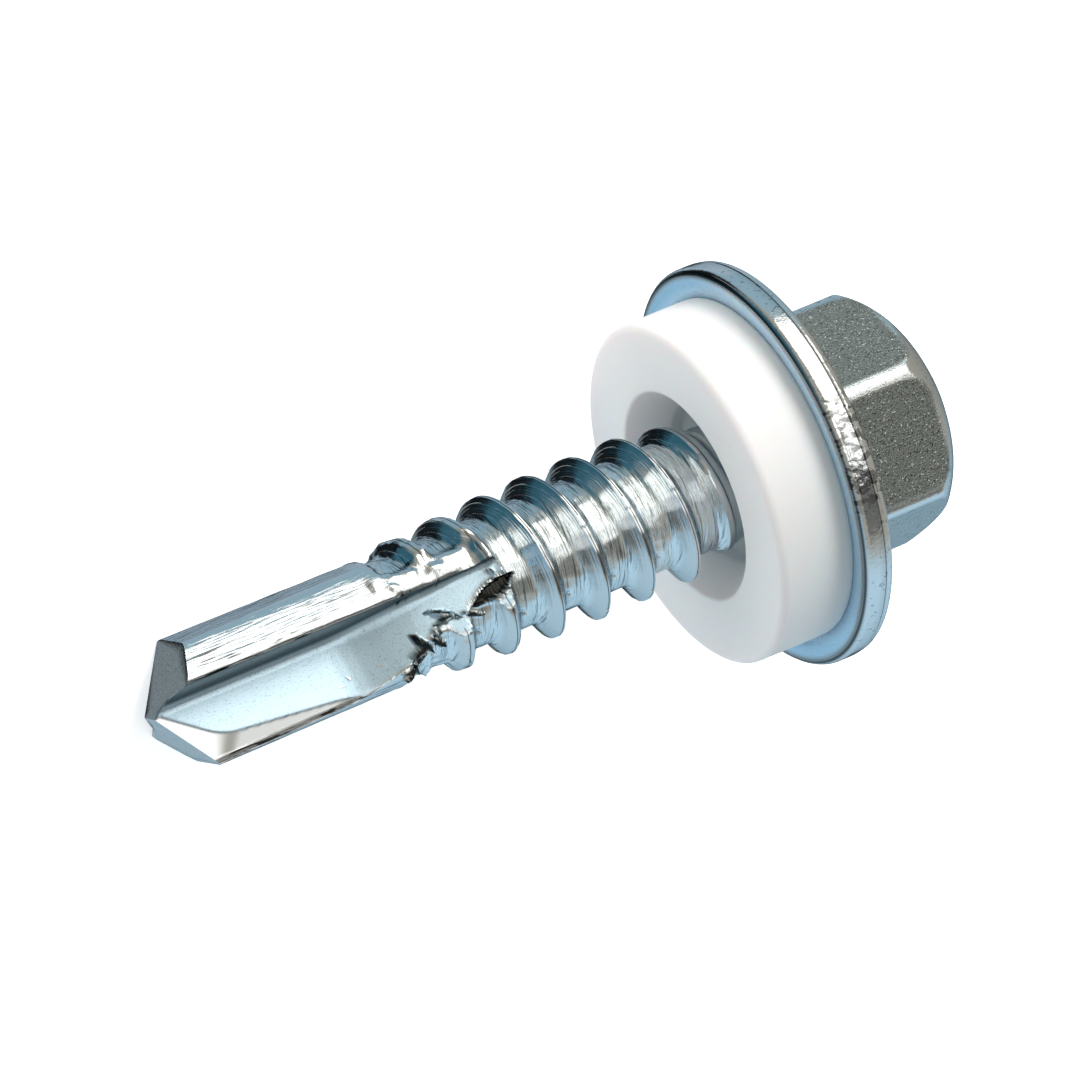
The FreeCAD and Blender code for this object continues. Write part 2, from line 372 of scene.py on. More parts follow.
def floor_height(x, z):
    """The lower of the ramped floor and the bevels, at x and z."""
    return np.minimum(look_up(RAMP, z), bevel_height(x, z))


def floor_ray(turn_in_flute, z):
    """How far a ray from the axis goes before it leaves through the floor or a bevel."""
    c, s = np.cos(np.radians(turn_in_flute)), np.sin(np.radians(turn_in_flute))
    reach = look_up(RAMP, z) / np.maximum(s, 1e-4)
    hits = []
    for normal, level in BEVELS:
        slope = normal[0] * c + normal[1] * s
        hit = (level - normal[2] * z + fade(z) * normal[1]) / np.where(slope > 1e-6, slope, 1e-6)
        hits.append(np.where(slope > 1e-6, np.clip(hit, 0.0, 9.0), 9.0))
    return np.minimum(reach, smooth_min(hits[0], hits[1], 0.3))


print("columns in half a turn", HALF_COLUMNS, "lip corner", LIP.round(2))

# %% [markdown]
# ## Torn metal
#
# Where the dies stop, the metal that they squeeze out tears off in shards, and one long tear opens
# beside the last crest. It could be sculpted by hand, but then it would be lost at the next change
# of the flute. A table is easier to keep: each row is one leaf with a place, a size and a slant,
# and the skin of the flute is lifted or sunk by it. The far flute gets the same leaves, shifted.

# %% Shards and the tear
# Each shard: turn in the flute, z, half length, half width, height, slant, painted shade on its front.
SHARDS = ((84.0, 11.3, 0.40, 0.14, 0.12, 20.0, 0.3), (62.8, 13.40, 0.62, 0.25, 0.24, 60.0, 0.35),
          (58.0, 13.43, 0.42, 0.20, 0.30, 113.0, 0.2), (52.5, 12.37, 0.52, 0.13, 0.16, 62.0, 1.0),
          (42.2, 14.38, 0.52, 0.24, 0.34, 35.0, 0.9), (38.3, 13.82, 0.40, 0.17, 0.26, 44.0, 0.9),
          (47.2, 13.80, 0.34, 0.17, 0.30, 6.0, 0.3), (38.1, 14.57, 0.38, 0.22, 0.34, 107.0, 0.5),
          (23.9, 15.07, 0.38, 0.24, 0.26, 77.0, 1.0), (8.0, 14.60, 0.60, 0.20, 0.30, 19.0, 0.6),
          (30.0, 14.60, 0.32, 0.17, 0.30, 140.0, 0.4), (16.0, 15.10, 0.30, 0.16, 0.24, 120.0, 0.5))
# The tear, a hollow painted black as its shadow, with a turned-up lip: turn, z, half length, half width,
# depth, slant.
TEAR = (67.1, 11.47, 1.02, 0.26, 0.16, 109.0)
BEHIND = 0.4


def leaf(turn_in_flute, z, turn, at, length, width, slant, behind):
    """Across a leaf laid at a slant: 0 on its spine, 1 on its near edge, -1 on its far edge."""
    sideways = np.radians(turn_in_flute - turn) * 2.2
    forward = z - at
    a = (sideways * math.cos(slant) + forward * math.sin(slant)) / length
    b = forward * math.cos(slant) - sideways * math.sin(slant)
    span = width * np.clip(1.0 - a * a, 1e-3, 1.0)
    return np.where(b > 0.0, b / span, b / (behind * span))


def torn(turn_in_flute, z, half):
    """Height and painted shade of the torn metal: a shard is height * (1 - |across|), the tear sinks."""
    rng = np.random.default_rng(40 + half)
    height = np.zeros(z.shape)
    black = np.zeros(z.shape)
    for turn, at, length, width, tall, slant, front in SHARDS:
        turn = turn + half * rng.uniform(-6.0, 6.0)
        at = at + half * rng.uniform(-0.3, 0.3)
        slant = math.radians(slant + half * rng.uniform(-40.0, 40.0))
        across = leaf(turn_in_flute, z, turn, at, length, width, slant, BEHIND)
        tent = tall * np.clip(1.0 - np.abs(across), 0.0, 0.85)
        # Painted shade: the far side of each shard is painted black, and its front by its own darkness.
        black = np.where(tent > height, np.where(across < 0.0, 1.0, front), black)
        height = np.maximum(height, tent)
    turn, at, length, width, deep, slant = TEAR
    across = np.abs(leaf(turn_in_flute, z, turn, at, length, width, math.radians(slant), 1.0))
    inside = across < 1.7
    turned_up = 0.06 * np.exp(-((across - 1.2) / 0.25) ** 2)
    hollow = -deep * smooth_step((1.0 - across) / 0.4)
    height = np.where(inside, hollow + turned_up, height)
    return height, np.where(inside, smooth_step((1.05 - across) / 0.15), black)


print("shards", len(SHARDS), "tallest", max(row[4] for row in SHARDS), "tear", TEAR[2] * 2.0, "long")

# %% [markdown]
# ## One half turn of the shank
#
# Each column has a kind. Floor columns are spread evenly in x near the point and evenly in angle
# where the thread takes over, and the change between the two is gradual. Wall columns start with
# the rounded corner and climb to the heel. Land columns go round the outside to the next lip.
#
# Beside its place, each point gets two shades for the finish: how much it is flute floor, and how
# much painted shade it gets. Crest lines, torn metal, the heel wall and a crease near the point get
# this painted shade.

# %% Points of half a turn
FIRST_TURN = 9.7
CORNER_TURN = 86.0
LAND_TURN = 95.0
MOST_REACH = 2.72
NEAR_SHARE = 0.38
FAR_SHARE = 0.86


def turn_of(half):
    """Angle of the flute's frame: the second flute lies half a turn on."""
    return FLUTE_TURN + 180.0 * half


def lip_height(radius, z):
    """Height of the lip above the flute's x axis, where the floor or a bevel meets the outside."""
    return np.clip(floor_height(radius, z), 0.02, WEB)


def crest_line(angle, z, reach):
    """True within 0.02 mm of a crest's middle, where the thread really stands up."""
    climb = (z - CREST_Z) / PITCH - angle / 360.0
    return (np.abs(climb - np.round(climb)) * PITCH < 0.02) & (reach > 2.3) & (z < 14.0)


def floor_part(z, half):
    """Floor columns: each point lies as far out as the floor or the thread, plus the torn metal."""
    inward = np.linspace(0.0, 1.0, FLOOR_COLUMNS)[None, :]
    radius = look_up(BODY, z)
    lip_x = np.sqrt(radius ** 2 - lip_height(radius, z) ** 2)
    across = lip_x + (CORNER_X - lip_x) * inward
    deep = np.degrees(np.arctan2(np.clip(floor_height(across, z), 0.01, WEB), across))
    even = FIRST_TURN + (CORNER_TURN - FIRST_TURN) * inward
    shallow = smooth_step((17.2 - z) / 4.5)
    angle = deep * (1.0 - shallow) + even * shallow
    outside = outer_radius(angle + 180.0, angle + turn_of(half), z)
    ray = floor_ray(angle, z)
    shard, black = torn(angle, z, half)
    reach = np.minimum(np.minimum(ray, outside) + shard, MOST_REACH)
    over_ramp = bevel_height(across, z) - look_up(RAMP, z)
    clear = np.clip(1.0 - np.abs(shard) / 0.05, 0.0, 1.0)
    is_floor = np.clip((outside - ray) / 0.1, 0.0, 1.0) * clear
    is_floor = is_floor * np.clip(over_ramp / 0.01 + 1.0, 0.0, 1.0)
    # Painted shade: a dark line along the crease where a bevel meets the ramp, and one just inside the
    # lip.
    seam = np.exp(-(over_ramp / 0.02) ** 2) * (z > 15.5)
    edge_line = (np.abs(inward - 0.05) < 0.03) * smooth_step((z - 15.0) / 0.8)
    # Painted shade on the torn metal where it stands out of the floor.
    torn_shade = 1.2 * black * np.clip(np.abs(shard) / 0.03, 0.0, 1.0)
    # Painted shade: a dark line along the middle of each crest.
    crest_shade = 0.7 * crest_line(angle + turn_of(half), z, reach)
    painted_shade = np.maximum(np.maximum(torn_shade, crest_shade), 0.75 * np.maximum(seam, edge_line))
    return reach * np.cos(np.radians(angle)), reach * np.sin(np.radians(angle)), is_floor, painted_shade


def wall_part(z, half):
    """Wall columns: a quarter round out of the corner, then straight up to the heel.

    Where the floor has run out of the metal no wall is exposed, and they lie on the thread.
    """
    step = np.arange(1, WALL_COLUMNS + 1)[None, :]
    angle = CORNER_TURN + step * (LAND_TURN - CORNER_TURN) / WALL_COLUMNS
    outside = outer_radius(angle, angle + turn_of(half), z)
    top = np.sqrt(np.maximum(outside ** 2 - HEEL_X ** 2, 0.0))
    bottom = look_up(RAMP, z)
    room = np.maximum(top - bottom, 0.0)
    fillet = np.minimum(CORNER_X - HEEL_X, 0.6 * room)
    swing = np.radians(90.0 * np.minimum(step, 4) / 4.0)
    wall_x = HEEL_X + fillet * (1.0 - np.sin(swing))
    wall_y = bottom + fillet * (1.0 - np.cos(swing))
    above = np.clip((step - 4) / (WALL_COLUMNS - 4.0), 0.0, 1.0)
    wall_y = wall_y + (top - bottom - fillet) * above
    exposed = smooth_step(room / 0.25)
    x = wall_x * exposed + outside * np.cos(np.radians(angle)) * (1.0 - exposed)
    y = wall_y * exposed + outside * np.sin(np.radians(angle)) * (1.0 - exposed)
    is_floor = exposed * np.clip((3.5 - step) / 2.0, 0.0, 1.0)
    # The heel wall above its rounded corner gets painted shade.
    return x, y, is_floor, 0.8 * exposed * np.clip((step - 1.0) / 3.0, 0.0, 1.0)


def land_part(z, half):
    """Land columns: close together beside the heel and beside the lip, and wider apart between."""
    share = np.arange(1, LAND_COLUMNS + 1)[None, :] / (LAND_COLUMNS + 1.0)
    radius = look_up(BODY, z)
    end = np.degrees(np.arcsin(lip_height(radius, z) / radius)) + 180.0
    start = HEEL_TURN + 2.1 * (1.0 - smooth_step((z - 10.5) / 1.5))
    by_heel = start + (132.0 - start) * (share / NEAR_SHARE) ** 1.25
    between = 132.0 + (178.0 - 132.0) * (share - NEAR_SHARE) / 0.48
    by_lip = 178.0 + (end - 178.0) * (share - FAR_SHARE) / 0.14
    angle = np.where(share < NEAR_SHARE, by_heel, np.where(share < FAR_SHARE, between, by_lip))
    outside = outer_radius(angle, angle + turn_of(half), z)
    # A narrow band beside the heel gets painted shade.
    near_heel = np.clip(1.0 - (angle - HEEL_TURN) / 3.5, 0.0, 1.0) * smooth_step((z - 11.8) / 0.8)
    # Painted shade: a dark line along the middle of each crest.
    crest_shade = 0.7 * crest_line(angle + turn_of(half), z, outside)
    x = outside * np.cos(np.radians(angle))
    y = outside * np.sin(np.radians(angle))
    return x, y, np.zeros(z.shape), np.maximum(0.8 * near_heel, crest_shade)


def half_turn(z, half):
    """The flute's x and y and both shades, for z of shape (rows, HALF_COLUMNS); half is 0 or 1."""
    parts = (floor_part(z[:, :FLOOR_COLUMNS], half),
             wall_part(z[:, FLOOR_COLUMNS:FLOOR_COLUMNS + WALL_COLUMNS], half),
             land_part(z[:, FLOOR_COLUMNS + WALL_COLUMNS:], half))
    return [np.concatenate(values, axis=1) for values in zip(*parts)]


nominal_x, nominal_y, _, _ = half_turn(np.full((1, HALF_COLUMNS), 6.0), 0)
COLUMN_TURNS = np.degrees(np.arctan2(nominal_y[0], nominal_x[0])) % 360.0
print("column angles run from %.1f to %.1f" % (COLUMN_TURNS.min(), COLUMN_TURNS.max()))

# %% [markdown]
# ## Rows that follow the thread
#
# If the rows ran straight round, every crest would cut across them and look like a staircase.
# Here each row climbs with the thread, one pitch for each turn, so the end of a row meets the
# row one pitch further on. The rows are cut off flat where the drill body starts.

# %% The shank as a skin
THREAD_START = -0.6
THREAD_END = 14.9
OFFSETS = np.array([-0.9, -0.8, -0.7, -0.62, -0.55, -0.49, -0.44, -0.385, -0.28, -0.17, -0.07, -0.055,
                    -0.028, -0.014, 0.014, 0.028, 0.055, 0.07, 0.17, 0.28, 0.385, 0.44, 0.49, 0.55,
                    0.64, 0.76])
ROWS_PER_PITCH = len(OFFSETS)


def lay_section(x, y, turn):
    """Turns the flute's frame into the screw's: a rotation by turn, in degrees."""
    a = math.radians(turn)
    return x * math.cos(a) - y * math.sin(a), x * math.sin(a) + y * math.cos(a)


def shank_grid(z):
    """Points and shade, six numbers each, for z of shape (rows, 2 * HALF_COLUMNS)."""
    parts = []
    for half in (0, 1):
        z_half = z[:, half * HALF_COLUMNS:(half + 1) * HALF_COLUMNS]
        flute_x, flute_y, is_floor, painted_shade = half_turn(z_half, half)
        x, y = lay_section(flute_x, flute_y, turn_of(half))
        parts.append(np.stack([x, y, z_half, is_floor, painted_shade, np.zeros(x.shape)], axis=-1))
    return np.concatenate(parts, axis=1)


columns = 2 * HALF_COLUMNS
turns = np.concatenate([COLUMN_TURNS, COLUMN_TURNS + 180.0])
turns = np.where(turns < turns[0], turns + 360.0, turns)
first_crest = CREST_Z + PITCH * (turns[0] + FLUTE_TURN) / 360.0
lowest = first_crest - PITCH * math.ceil((first_crest - THREAD_START) / PITCH + 1.5)
pitches = math.ceil((THREAD_END - lowest) / PITCH) + 2
starts = (lowest + PITCH * np.arange(pitches)[:, None] + OFFSETS[None, :]).ravel()
z_thread = starts[:, None] + PITCH * (turns - turns[0])[None, :] / 360.0
z_thread = np.clip(z_thread, THREAD_START, THREAD_END)
thread_points = shank_grid(z_thread)

rows = len(starts)
row, column = np.meshgrid(np.arange(rows - 1), np.arange(columns), indexing="ij")
next_row = row + np.where(column == columns - 1, ROWS_PER_PITCH, 0)
usable = next_row + 1 < rows
next_column = (column + 1) % columns
a = row * columns + column
b = next_row * columns + next_column
thread_quads = np.stack([a, b, b + columns, a + columns], axis=-1)[usable]
print("thread rows", rows, "columns", columns)

# %% [markdown]
# ## The drill body
#
# Below the thread the section hardly changes, so plain level rows do. Towards the point they bend,
# until the last one lies exactly on the roof of the two flanks. Where a column meets the roof
# depends on its own height, so that height is found by a few rounds of put in and read off.

# %% Drill body
BODY_ROWS = 52
POINT_ROWS = 46
BEND_Z = 20.6


def flank_height(x, y):
    """Height of the roof: the lower of two planes, TIP_Z - |POINT_SLOPE x - RELIEF y|."""
    return TIP_Z - np.abs(POINT_SLOPE * x - RELIEF * y)


z_body = np.repeat(np.linspace(THREAD_END, BEND_Z, BODY_ROWS)[:, None], columns, axis=1)
roof = np.full((1, columns), TIP_Z - 1.0)
for _ in range(4):
    for half in (0, 1):
        piece = slice(half * HALF_COLUMNS, (half + 1) * HALF_COLUMNS)
        flute_x, flute_y, _, _ = half_turn(roof[:, piece], half)
        roof[:, piece] = flank_height(flute_x, flute_y)
steps = np.linspace(0.0, 1.0, POINT_ROWS)[1:, None]
z_drill = np.concatenate([z_body, BEND_Z + (roof - BEND_Z) * steps])
drill_points = shank_grid(z_drill)
drill_rows = len(z_drill)
print("drill rows", drill_rows, "roof from %.2f to %.2f" % (roof.min(), roof.max()))

# %% [markdown]
# ## The two flanks
#
# Each flank of the point is a plane that slopes out to its lip and falls away behind it, which is
# what lets the lip cut. A flat face with many corners would be shaded badly, so it is filled by
# rungs: the inner edge runs down the heel, over the web and out along the far lip, the outer edge
# runs round the land, and every rung joins one point of each.

# %% Flanks
RUNGS = 7
last_row = drill_points[-1, :, :3]


def flank_face(half):
    """The points of one flank, (RUNGS, columns, 3): inner * (1 - step) + outer * step."""
    here = half * HALF_COLUMNS
    there = (1 - half) * HALF_COLUMNS
    land_starts = here + FLOOR_COLUMNS + WALL_COLUMNS
    heel_up = last_row[here + FLOOR_COLUMNS:land_starts][::-1]
    near_corner = last_row[here + FLOOR_COLUMNS - 1]
    far_corner = last_row[there + FLOOR_COLUMNS - 1]
    share = (np.arange(1, WEB_COLUMNS + 1) / (WEB_COLUMNS + 1.0))[:, None]
    web = near_corner * (1.0 - share) + far_corner * share
    far_floor = last_row[there:there + FLOOR_COLUMNS][::-1]
    inner = np.concatenate([heel_up, near_corner[None], web, far_floor])
    outer = np.concatenate([heel_up[:1], last_row[land_starts:here + HALF_COLUMNS], far_floor[-1:]])
    step = np.linspace(0.0, 1.0, RUNGS)[:, None, None]
    sheet = inner[None] * (1.0 - step) + outer[None] * step
    flute_x, flute_y = lay_section(sheet[..., 0], sheet[..., 1], -FLUTE_TURN)
    roof_z = flank_height(flute_x, flute_y)
    over_web = slice(WALL_COLUMNS, WALL_COLUMNS + WEB_COLUMNS + 2)
    sheet[1:-1, :, 2] = roof_z[1:-1]
    sheet[0, over_web, 2] = roof_z[0, over_web]
    return sheet


def sheet_quads(rungs, across, first):
    """Quads of an open sheet of rungs rows and across columns, its points numbered from first."""
    r, c = np.meshgrid(np.arange(rungs - 1), np.arange(across - 1), indexing="ij")
    q = first + r * across + c
    return np.stack([q, q + across, q + across + 1, q + 1], axis=-1).reshape(-1, 4)


flanks = np.stack([flank_face(0), flank_face(1)])
across = flanks.shape[2]
flank_quads = np.concatenate([sheet_quads(RUNGS, across, half * RUNGS * across) for half in (0, 1)])
print("flank quads", len(flank_quads))

# %% [markdown]
# ## The head
#
# A hexagon head with a pressed flange is forged in one blow from the same wire as the shank. Its
# skin is one profile, walked from the neck out to the rim, round it, up the hexagon and over the
# domed top. Only the hexagon rows aren't round: there the radius follows six flats with rounded
# corners, and where the dome is narrower than the hexagon the dome wins.

# %% Hexagon
HEX_FLAT = 4.0
HEX_ROUND = 0.4
HEX_TURN = -10.5
COS_30 = math.cos(math.radians(30.0))


def hexagon(angle):
    """Radius of a hexagon with rounded corners, a corner at HEX_TURN: HEX_FLAT / cos, or an arc."""
    from_corner = np.radians((angle - HEX_TURN + 30.0) % 60.0 - 30.0)
    flat = HEX_FLAT / np.cos(math.radians(30.0) - np.abs(from_corner))
    centre = (HEX_FLAT - HEX_ROUND) / COS_30
    arc = centre * np.cos(from_corner) + np.sqrt(np.maximum(
        HEX_ROUND ** 2 - (centre * np.sin(from_corner)) ** 2, 0.0))
    reach = math.atan2(HEX_ROUND * 0.5, centre + HEX_ROUND * COS_30)
    return np.where(np.abs(from_corner) < reach, arc, flat)


corner_fan = np.concatenate([np.linspace(-30.0, -6.0, 11)[:-1], np.linspace(-6.0, 6.0, 15),
                             np.linspace(6.0, 30.0, 11)[1:-1]])
head_angles = (HEX_TURN + 60.0 * np.arange(6)[:, None] + corner_fan[None, :]).ravel()
hex_radius = hexagon(head_angles)
print("across flats %.2f, across corners %.2f" % (2.0 * hex_radius.min(), 2.0 * hex_radius.max()))

# %% [markdown]
# ## The head's profile
#
# The flange is a shallow dish with a rolled edge: flat near the neck, a small rise, a flat lip, a
# round edge with a groove, and a slope back to the hexagon's foot. Rows are close together where
# the profile turns sharply, because only there does the light change fast.

# %% Flange and dome
HEAD_TOP = -6.4
RIM_R = 7.2
FOOT_Z = -1.66
FOOT_ROUND = 0.32


def arc_points(centre, radius, start, end, count):
    """(radius, z) points on an arc in the profile, angles in degrees from the outward direction."""
    a = np.radians(np.linspace(start, end, count))
    return np.stack([centre[0] + radius * np.cos(a), centre[1] + radius * np.sin(a)], axis=-1)


def all_round(rows):
    """The same (radius, z) rows at every angle of the head."""
    return np.repeat(rows[:, None, :], len(head_angles), axis=1)


under = np.array([(0.0, -0.25), (NECK_R - 0.3, -0.25), (3.2, -0.25), (4.4, -0.25), (5.2, -0.25),
                  (5.7, -0.245), (5.95, -0.225), (6.1, -0.17), (6.22, -0.1), (6.34, -0.04),
                  (6.45, -0.012), (6.6, 0.0), (6.8, 0.0), (6.95, 0.0)])
rim = np.concatenate([arc_points((RIM_R - 0.26, -0.26), 0.26, 90.0, 0.0, 9),
                      np.array([(RIM_R, -0.5), (RIM_R - 0.005, -0.76), (RIM_R - 0.03, -0.79),
                                (RIM_R - 0.012, -0.83)])])
rim_back = arc_points((RIM_R - 0.33, -0.86), 0.31, 0.0, -75.0, 10)
back = np.array([(6.4, -1.255), (5.8, -1.38), (5.2, -1.5), (4.85, -1.58)])
round_skin = all_round(np.concatenate([under, rim, rim_back, back]))

foot = np.radians(np.linspace(0.0, 90.0, 9))[:, None]
foot_r = (hex_radius + FOOT_ROUND)[None, :] - FOOT_ROUND * np.sin(foot)
foot_z = FOOT_Z - FOOT_ROUND * (1.0 - np.cos(foot)) + 0.0 * foot_r
foot_skin = np.stack([foot_r, foot_z], axis=-1)

dome_rows = np.concatenate([np.array([(6.0, -2.3), (6.0, -3.0), (6.0, -3.8), (5.6, -4.2), (5.0, -4.5)]),
                            arc_points((1.77, -3.25), 3.2, -27.0, -70.0, 34),
                            np.array([(2.72, -6.35), (2.6, -6.39)])])
dome_skin = all_round(dome_rows)
dome_skin[..., 0] = smooth_min(np.repeat(hex_radius[None, :], len(dome_rows), 0), dome_skin[..., 0], 0.05)
dimple = np.array([(2.45, 0.01), (2.25, 0.06), (2.05, 0.2), (1.9, 0.3), (1.7, 0.34), (1.2, 0.35),
                   (0.6, 0.35), (0.0, 0.35)])
dimple_skin = all_round(dimple + np.array([0.0, HEAD_TOP]))

profile = np.concatenate([round_skin, foot_skin, dome_skin, dimple_skin])
from_axis, head_z = profile[..., 0], profile[..., 1]
heading = np.radians(head_angles)[None, :]
head_points = np.stack([from_axis * np.cos(heading), from_axis * np.sin(heading), head_z], axis=-1)
head_quads = ring_quads(len(profile), len(head_angles))[:, ::-1]
print("head rows", len(profile), "columns", len(head_angles), "top %.3f" % head_z.min())

# %% [markdown]
# ## Where the head is dark, satin or rough
#
# The header's punch leaves the six faces grainy. Each face is a rounded rectangle of roughness that
# the finish darkens, and the edges between them are left bright, a painted highlight where the
# rounded edges catch the light; one face is smoother and much less darkened than the rest. The
# rolled edge of the flange and its groove get dark lines of painted shade, and its underside is
# blue and satin.

# %% Shades of the head
FACE_ROUGHNESS = (0.9, 1.0, 0.9, 0.25, 1.0, 0.9)
# Painted shade: a dark line on the rolled edge of the flange and one in its groove.
rolled_edge = np.exp(-((head_z + 0.03) / 0.035) ** 2) * (from_axis > 6.8)
groove = np.exp(-((head_z + 0.79) / 0.025) ** 2) * (from_axis > 7.1)
from_middle = np.radians((head_angles - HEX_TURN) % 60.0 - 30.0)
face_x = np.abs(HEX_FLAT * np.tan(from_middle))[None, :] / 2.12
face_z = np.maximum(-head_z - 3.4, 0.0) / 2.1
# The faces are darkened and the edges between them left bright, a painted highlight.
on_face = smooth_step((1.0 - (face_x ** 5 + face_z ** 5) ** 0.2) / 0.09) * (head_z < -1.9)
face_number = np.floor((head_angles - HEX_TURN) / 60.0).astype(int) % 6
on_face = on_face * np.array(FACE_ROUGHNESS)[face_number][None, :]
on_under = (head_z > -0.26) * (from_axis < 6.93) * 1.0
head_shade = np.stack([on_under, np.maximum(0.95 * rolled_edge, 0.8 * groove), on_face], axis=-1)
print("share of the head that is rough %.2f" % on_face.mean())

# %% [markdown]
# ## One forged piece
#
# Thread, point and head are one piece of steel, so they become one object that stands for the
# CAD screw. The neck simply runs on into the head, as it does in the metal.

# %% Join the skins
ON_FLANK_ROUGH = 1.0


def shaded(points, is_rough=0.0):
    """Points with no floor and no painted shade, and the same roughness everywhere, six numbers each."""
    flat = points.reshape(-1, 3)
    return np.column_stack([flat, np.tile([0.0, 0.0, is_rough], (len(flat), 1))])


neck_end = np.repeat(np.array([[0.0, 0.0, THREAD_START]]), columns, axis=0)
pieces = [(thread_points.reshape(-1, 6), thread_quads),
          (drill_points.reshape(-1, 6), ring_quads(drill_rows, columns)),
          (shaded(np.concatenate([neck_end, thread_points[0, :, :3]])), ring_quads(2, columns)),
          (shaded(flanks, ON_FLANK_ROUGH), flank_quads),
          (np.concatenate([head_points, head_shade], axis=-1).reshape(-1, 6), head_quads)]
starts_at = np.cumsum([0] + [len(points) for points, _ in pieces])
skin = np.concatenate([points for points, _ in pieces])
skin_quads = np.concatenate([quads + start for (_, quads), start in zip(pieces, starts_at)])
screw = build("screw_skin", skin[:, :3], skin_quads, 32.0, skin[:, 3:])

# %% [markdown]
# ## The sealing washer
#
# A moulded plastic ring, softly rounded in front, with a funnel mouth and a thin inner lip that
# snaps over the neck. It is a plain turned shape, so one profile spun round the axis is enough.

# %% Washer
WASHER_R = 6.15
WASHER_BACK = -0.22
WASHER_FRONT = 2.68
EDGE_R = 0.3
BACK_EDGE_R = 0.15
MOUTH_R = 3.7
MOUTH_EDGE_R = 0.16
BORE_R = 2.9
LIP_R = 2.38
WASHER_COLUMNS = 160


def spin(profile_rows, columns_round):
    """Rows of points: each (radius, z) row becomes a ring of columns_round points."""
    a = np.radians(np.arange(columns_round) * 360.0 / columns_round)[None, :]
    r = profile_rows[:, 0][:, None]
    z = profile_rows[:, 1][:, None] + 0.0 * a
    return np.stack([r * np.cos(a), r * np.sin(a), z], axis=-1).reshape(-1, 3)


washer_rows = np.concatenate([
    np.array([(LIP_R, WASHER_BACK + 0.3), (LIP_R, WASHER_BACK + 0.04), (LIP_R + 0.04, WASHER_BACK),
              (4.0, WASHER_BACK), (5.6, WASHER_BACK)]),
    arc_points((WASHER_R - BACK_EDGE_R, WASHER_BACK + BACK_EDGE_R), BACK_EDGE_R, -90.0, 0.0, 7),
    np.array([(WASHER_R, 0.8), (WASHER_R, 1.6), (WASHER_R - 0.01, 2.2)]),
    arc_points((WASHER_R - EDGE_R, WASHER_FRONT - EDGE_R), EDGE_R, 0.0, 90.0, 14),
    np.array([(5.2, WASHER_FRONT), (4.6, WASHER_FRONT), (4.1, WASHER_FRONT)]),
    arc_points((MOUTH_R + MOUTH_EDGE_R, WASHER_FRONT - MOUTH_EDGE_R), MOUTH_EDGE_R, 90.0, 150.0, 6),
    np.array([(3.3, 2.05), (BORE_R + 0.05, 1.42), (BORE_R, 1.32), (BORE_R, 1.0),
              (BORE_R - 0.05, 0.86), (LIP_R + 0.04, 0.42), (LIP_R, 0.36)])])
closed = np.concatenate([washer_rows, washer_rows[:1]])
washer = build("washer_skin", spin(closed, WASHER_COLUMNS), ring_quads(len(closed), WASHER_COLUMNS), 40.0)

# %% [markdown]
# ## Two finishes
#
# Zinc plating is a thin bright coat that shows every mark of the steel beneath it, and a bluish
# one after passivation. The marks differ by place: rolling leaves fine lines round the thread,
# the point dies leave scratches along the lands, and the header leaves a grainy hexagon. Such a
# finish takes many small nodes, so a few helpers come first: each adds one node and gives back
# its output, which lets the material be written as plain sums.

# %% Node helpers


def material(name):
    """A new material with its Principled node, as (material, node tree, principled)."""
    made = bpy.data.materials.new(name)
    made.use_nodes = True
    tree = made.node_tree
    shader = next(n for n in tree.nodes if n.type == "BSDF_PRINCIPLED")
    return made, tree, shader


def node(tree, kind, **settings):
    """Adds a node and sets its properties."""
    made = tree.nodes.new(kind)
    for key, value in settings.items():
        setattr(made, key, value)
    return made


def feed(tree, socket, source):
    """Connects source to socket, or sets the socket when source is a plain value."""
    if isinstance(source, bpy.types.NodeSocket):
        tree.links.new(source, socket)
    else:
        socket.default_value = source


def maths(tree, operation, a, b=0.0, c=0.0):
    """One Math node, as its output."""
    made = node(tree, "ShaderNodeMath", operation=operation)
    for socket, source in zip(made.inputs, (a, b, c)):
        feed(tree, socket, source)
    return made.outputs[0]


def ease(tree, value, low, high, start=0.0, end=1.0):
    """A smooth step: start below low, end above high."""
    made = node(tree, "ShaderNodeMapRange", interpolation_type="SMOOTHSTEP")
    for socket, source in zip(made.inputs, (value, low, high, start, end)):
        feed(tree, socket, source)
    return made.outputs[0]


def mix_colour(tree, share, a, b):
    """A colour mix, as its output."""
    made = node(tree, "ShaderNodeMix", data_type="RGBA")
    feed(tree, made.inputs[0], share)
    feed(tree, made.inputs[6], a)
    feed(tree, made.inputs[7], b)
    return made.outputs[2]


def split(tree, vector):
    """The three numbers of a vector."""
    made = node(tree, "ShaderNodeSeparateXYZ")
    feed(tree, made.inputs[0], vector)
    return tuple(made.outputs)


def join(tree, x, y, z):
    """A vector of three numbers."""
    made = node(tree, "ShaderNodeCombineXYZ")
    for socket, source in zip(made.inputs, (x, y, z)):
        feed(tree, socket, source)
    return made.outputs[0]


def times(tree, first, *others):
    """The product of all the values."""
    for other in others:
        first = maths(tree, "MULTIPLY", first, other)
    return first


def most(tree, first, *others):
    """The largest of the values."""
    for other in others:
        first = maths(tree, "MAXIMUM", first, other)
    return first


def opposite(tree, value):
    """1 - value."""
    return maths(tree, "SUBTRACT", 1.0, value)


def weigh(tree, *pairs):
    """The sum of value times weight over the pairs."""
    total = 0.0
    for value, weight in pairs:
        total = maths(tree, "MULTIPLY_ADD", value, weight, total)
    return total


print("node helpers ready")

# %% [markdown]
# ## One node group for all marks
#
# Rolled lines, scratches, chatter and grain are all the same kind of pattern: noise pulled out in
# one direction and sharpened. One node group makes them all, and only its stretch and its two
# limits change. It reads the mesh's own "along" attribute, which holds each point's place on the
# screw in millimetres, so the lines stay square to the axis although the screw lies askew.

# %% A node group for drawn-out marks


